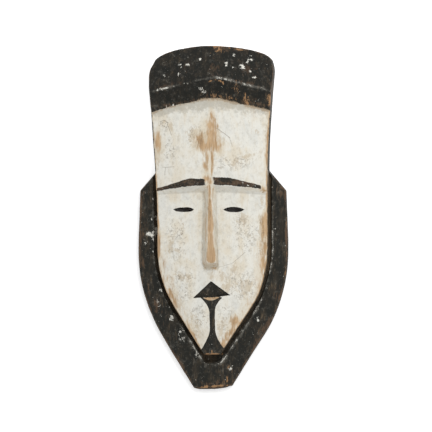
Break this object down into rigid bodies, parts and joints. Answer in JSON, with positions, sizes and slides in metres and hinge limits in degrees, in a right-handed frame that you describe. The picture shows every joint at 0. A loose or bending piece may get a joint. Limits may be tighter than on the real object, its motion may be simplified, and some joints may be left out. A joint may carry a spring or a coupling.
{
  "type": "carved face mask",
  "caption": "Long carved wooden face mask, hollow behind, with a black crest and border round a white face that has slit eyes, a long straight nose and a small mouth.",
  "frame": {"origin": "middle of the mask's bounding box, in the plane of its flat back rim", "axes": "+X to the right as one looks at the face, +Y towards the crown, +Z out of the face; the mask lies on its back rim"},
  "size_m": [0.262, 0.6, 0.093],
  "materials": {
    "painted_wood": "light wood under matt black and chalk-white paint, worn through to the wood on the ridges and edges"
  },
  "bodies": {
    "root": {"mask": "painted_wood"}
  },
  "joints": []
}
